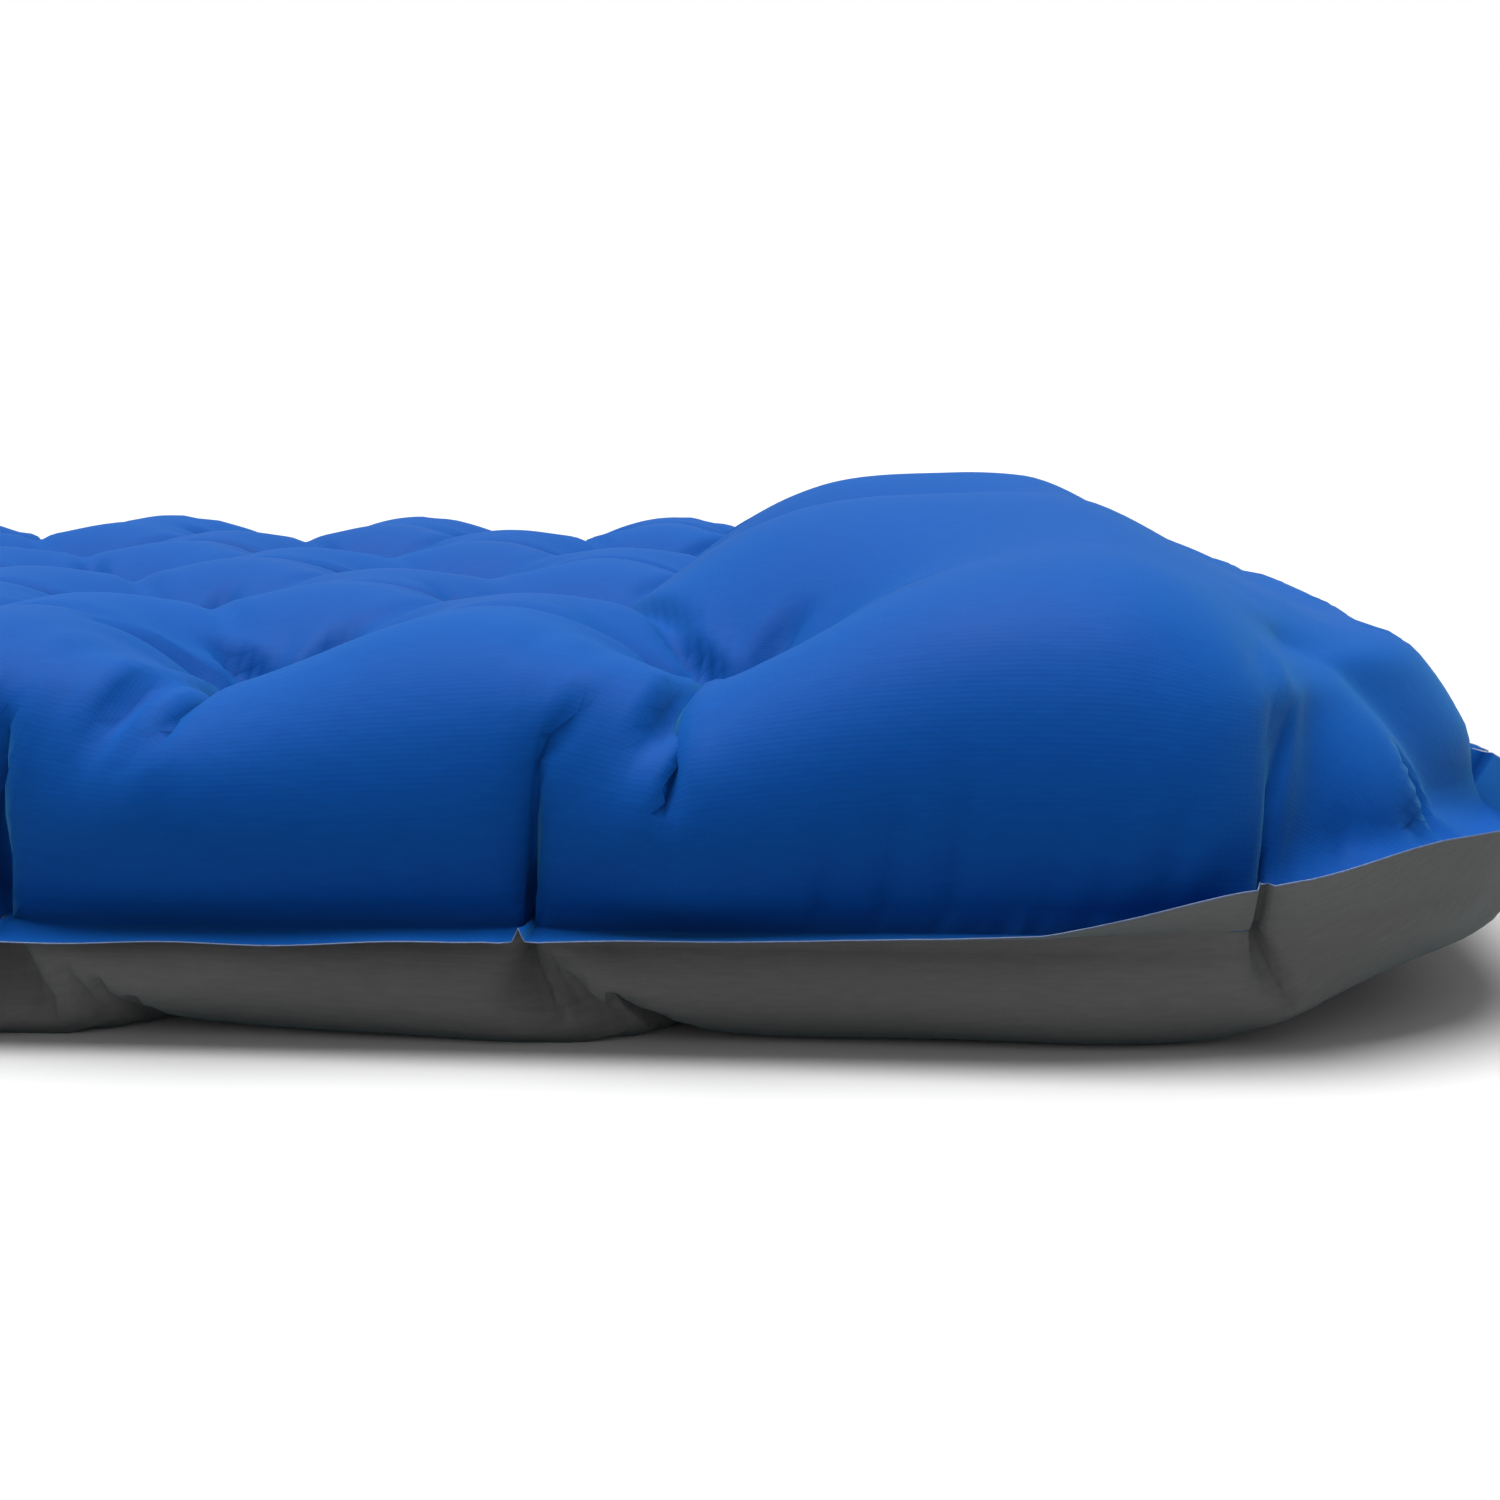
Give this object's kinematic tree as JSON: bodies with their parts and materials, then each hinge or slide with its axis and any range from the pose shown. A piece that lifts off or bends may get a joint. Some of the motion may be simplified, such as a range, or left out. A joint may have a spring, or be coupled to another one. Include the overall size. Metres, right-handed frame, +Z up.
{
  "type": "inflatable camping mattress",
  "caption": "Inflated camping mattress with staggered tied dimples, a raised pillow end, a welded edge flange and a two-stage air valve with hinged lid and cap.",
  "frame": {"origin": "on the floor under the middle of the mattress", "axes": "+X along the length towards the raised pillow end, +Y across the width, +Z up"},
  "size_m": [1.98, 0.65, 0.13],
  "materials": {
    "blue_fabric": "fine woven fabric with a matt face",
    "grey_fabric": "fine woven fabric with a matt face",
    "weld_film": "melted film",
    "tie_film": "clear-grey flexible film",
    "valve_plastic": "moulded, satin",
    "cap_plastic": "moulded, satin",
    "strap_rubber": "moulded, soft",
    "silicone": "moulded silicone"
  },
  "bodies": {
    "mattress": {"top_sheet": "blue_fabric", "bottom_sheet": "grey_fabric", "edge_weld": "weld_film", "spot_welds": "weld_film", "tie_straps": "tie_film", "valve_base": "valve_plastic", "lid_strap": "strap_rubber"},
    "deflate_lid": {"deflate_lid": "cap_plastic", "lid_seal": "silicone", "cap_strap": "strap_rubber"},
    "inflate_cap": {"inflate_cap": "cap_plastic", "cap_seal": "silicone"},
    "check_membrane": {"check_membrane": "silicone"}
  },
  "joints": [
    {"name": "lid_hinge", "type": "hinge", "parent": "mattress", "child": "deflate_lid", "pos_m": [-0.914, 0.116, 0.1032], "axis": [0, -1, 0], "range_deg": [0, 150], "deforming": ["lid_strap"]},
    {"name": "cap_hinge", "type": "hinge", "parent": "deflate_lid", "child": "inflate_cap", "pos_m": [-0.8745, 0.116, 0.1084], "axis": [0, 1, 0], "range_deg": [0, 150], "deforming": ["cap_strap"]},
    {"name": "membrane_travel", "type": "slide", "parent": "deflate_lid", "child": "check_membrane", "axis": [0, 0, -1], "range_m": [0, 0.0012], "stiffness_N_per_m": 20, "springref_m": -0.001}
  ]
}
